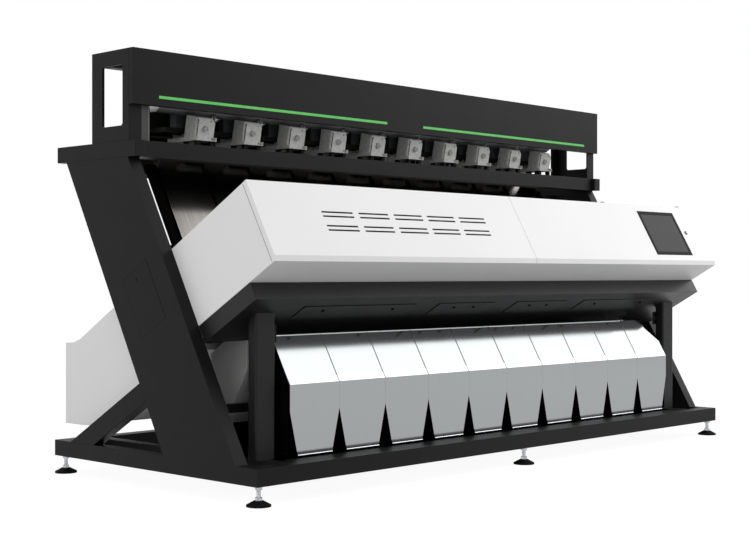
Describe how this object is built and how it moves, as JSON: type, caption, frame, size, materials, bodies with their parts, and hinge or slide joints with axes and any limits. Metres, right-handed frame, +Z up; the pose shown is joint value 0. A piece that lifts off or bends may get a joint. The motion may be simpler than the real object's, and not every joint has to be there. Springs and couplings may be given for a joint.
{
  "type": "rice sorting machine",
  "caption": "Optical rice sorter: slanted legs, a hood with vibrating feeders, inclined chutes, front and rear optical boxes with hinged covers, and a row of tapered steel outlets.",
  "frame": {"origin": "middle of the floor area under the whole machine, on the floor", "axes": "+X along the machine to the operator's right, +Z up, the front with the screen faces -Y"},
  "size_m": [3.902, 1.6336, 2.12],
  "materials": {
    "black_paint": "fine satin powder coat",
    "white_paint": "satin powder coat",
    "outlet_steel": "polished sheet",
    "hopper_steel": "brushed sheet",
    "zinc": "zinc plated",
    "pad_black": "matt",
    "rubber_black": "matt",
    "feeder_grey": "satin paint",
    "knob_grey": "moulded",
    "green_lens": "lit lens",
    "screen_glass": "dark panel",
    "chute_metal": "anodised",
    "window_glass": "clear",
    "camera_plastic": "moulded",
    "lamp_plastic": "opal",
    "valve_metal": "anodised",
    "button_metal": "turned"
  },
  "bodies": {
    "frame": {"base_side_rail_left": "black_paint", "base_side_rail_right": "black_paint", "base_cross_rails": "black_paint", "base_sill_plate": "zinc", "foot_pads": "pad_black", "foot_studs": "zinc", "side_leg_left": "black_paint", "side_leg_right": "black_paint", "rear_braces": "black_paint", "front_post_left": "black_paint", "front_post_right": "black_paint", "upper_side_beam_left": "black_paint", "upper_side_beam_right": "black_paint", "upper_cross_rails": "black_paint", "hood_end_left": "black_paint", "hood_end_right": "black_paint", "hood_fascia": "black_paint", "light_strips": "green_lens", "feed_hopper": "hopper_steel", "hopper_clamps": "zinc", "feeder_drives": "feeder_grey", "feeder_knobs": "knob_grey", "feeder_mounts": "feeder_grey", "feeder_feet": "rubber_black", "chutes": "chute_metal", "leg_cross_rails": "black_paint", "front_housing": "white_paint", "cover_hinges": "zinc", "ejector_beam": "black_paint", "ejector_hatches": "black_paint", "ejector_blocks": "valve_metal", "outlets": "outlet_steel", "outlet_brackets": "black_paint", "drop_trough": "hopper_steel", "rear_housing": "white_paint", "camera_units": "camera_plastic", "lamp_tubes": "lamp_plastic", "optical_windows": "window_glass", "wiper_rails": "zinc"},
    "left_leg_door": {"leg_door_left": "black_paint"},
    "right_leg_door": {"leg_door_right": "black_paint"},
    "left_front_cover": {"front_cover_left": "white_paint"},
    "right_front_cover": {"front_cover_right": "white_paint", "cover_fittings": "button_metal", "touch_screen": "screen_glass"},
    "power_button": {"power_button": "button_metal"},
    "left_rear_door": {"rear_door_left": "white_paint"},
    "right_rear_door": {"rear_door_right": "white_paint"},
    "front_wiper": {"wiper_front": "rubber_black"},
    "rear_wiper": {"wiper_rear": "rubber_black"},
    "tray_01": {"feeder_tray_01": "hopper_steel"},
    "tray_02": {"feeder_tray_02": "hopper_steel"},
    "tray_03": {"feeder_tray_03": "hopper_steel"},
    "tray_04": {"feeder_tray_04": "hopper_steel"},
    "tray_05": {"feeder_tray_05": "hopper_steel"},
    "tray_06": {"feeder_tray_06": "hopper_steel"},
    "tray_07": {"feeder_tray_07": "hopper_steel"},
    "tray_08": {"feeder_tray_08": "hopper_steel"},
    "tray_09": {"feeder_tray_09": "hopper_steel"},
    "tray_10": {"feeder_tray_10": "hopper_steel"}
  },
  "joints": [
    {"name": "left_cover_hinge", "type": "hinge", "parent": "frame", "child": "left_front_cover", "pos_m": [-0.9, -0.59089, 1.43837], "axis": [1, 0, 0], "range_deg": [-80, 0]},
    {"name": "right_cover_hinge", "type": "hinge", "parent": "frame", "child": "right_front_cover", "pos_m": [0.9, -0.59089, 1.43837], "axis": [1, 0, 0], "range_deg": [-80, 0]},
    {"name": "left_rear_door_hinge", "type": "hinge", "parent": "frame", "child": "left_rear_door", "pos_m": [-0.9, 0.77138, 0.6725], "axis": [1, 0, 0], "range_deg": [0, 80]},
    {"name": "right_rear_door_hinge", "type": "hinge", "parent": "frame", "child": "right_rear_door", "pos_m": [0.9, 0.77138, 0.6725], "axis": [1, 0, 0], "range_deg": [0, 80]},
    {"name": "left_leg_door_hinge", "type": "hinge", "parent": "frame", "child": "left_leg_door", "pos_m": [-1.932, -0.04207, 0.95438], "axis": [0, 0.4924, 0.8704], "range_deg": [0, 95]},
    {"name": "right_leg_door_hinge", "type": "hinge", "parent": "frame", "child": "right_leg_door", "pos_m": [1.932, -0.04207, 0.95438], "axis": [0, -0.4924, -0.8704], "range_deg": [0, 95]},
    {"name": "tray_01_shake", "type": "slide", "parent": "frame", "child": "tray_01", "axis": [0, 1, 0], "range_m": [-0.001, 0.001], "stiffness_N_per_m": 20000},
    {"name": "tray_02_shake", "type": "slide", "parent": "frame", "child": "tray_02", "axis": [0, 1, 0], "range_m": [-0.001, 0.001], "stiffness_N_per_m": 20000},
    {"name": "tray_03_shake", "type": "slide", "parent": "frame", "child": "tray_03", "axis": [0, 1, 0], "range_m": [-0.001, 0.001], "stiffness_N_per_m": 20000},
    {"name": "tray_04_shake", "type": "slide", "parent": "frame", "child": "tray_04", "axis": [0, 1, 0], "range_m": [-0.001, 0.001], "stiffness_N_per_m": 20000},
    {"name": "tray_05_shake", "type": "slide", "parent": "frame", "child": "tray_05", "axis": [0, 1, 0], "range_m": [-0.001, 0.001], "stiffness_N_per_m": 20000},
    {"name": "tray_06_shake", "type": "slide", "parent": "frame", "child": "tray_06", "axis": [0, 1, 0], "range_m": [-0.001, 0.001], "stiffness_N_per_m": 20000},
    {"name": "tray_07_shake", "type": "slide", "parent": "frame", "child": "tray_07", "axis": [0, 1, 0], "range_m": [-0.001, 0.001], "stiffness_N_per_m": 20000},
    {"name": "tray_08_shake", "type": "slide", "parent": "frame", "child": "tray_08", "axis": [0, 1, 0], "range_m": [-0.001, 0.001], "stiffness_N_per_m": 20000},
    {"name": "tray_09_shake", "type": "slide", "parent": "frame", "child": "tray_09", "axis": [0, 1, 0], "range_m": [-0.001, 0.001], "stiffness_N_per_m": 20000},
    {"name": "tray_10_shake", "type": "slide", "parent": "frame", "child": "tray_10", "axis": [0, 1, 0], "range_m": [-0.001, 0.001], "stiffness_N_per_m": 20000},
    {"name": "power_button_press", "type": "slide", "parent": "right_front_cover", "child": "power_button", "axis": [0, 0.8704, -0.4924], "range_m": [0, 0.003], "stiffness_N_per_m": 600, "springref_m": -0.002},
    {"name": "front_wiper_slide", "type": "slide", "parent": "frame", "child": "front_wiper", "axis": [1, 0, 0], "range_m": [0, 3.626]},
    {"name": "rear_wiper_slide", "type": "slide", "parent": "frame", "child": "rear_wiper", "axis": [1, 0, 0], "range_m": [0, 3.626]}
  ]
}
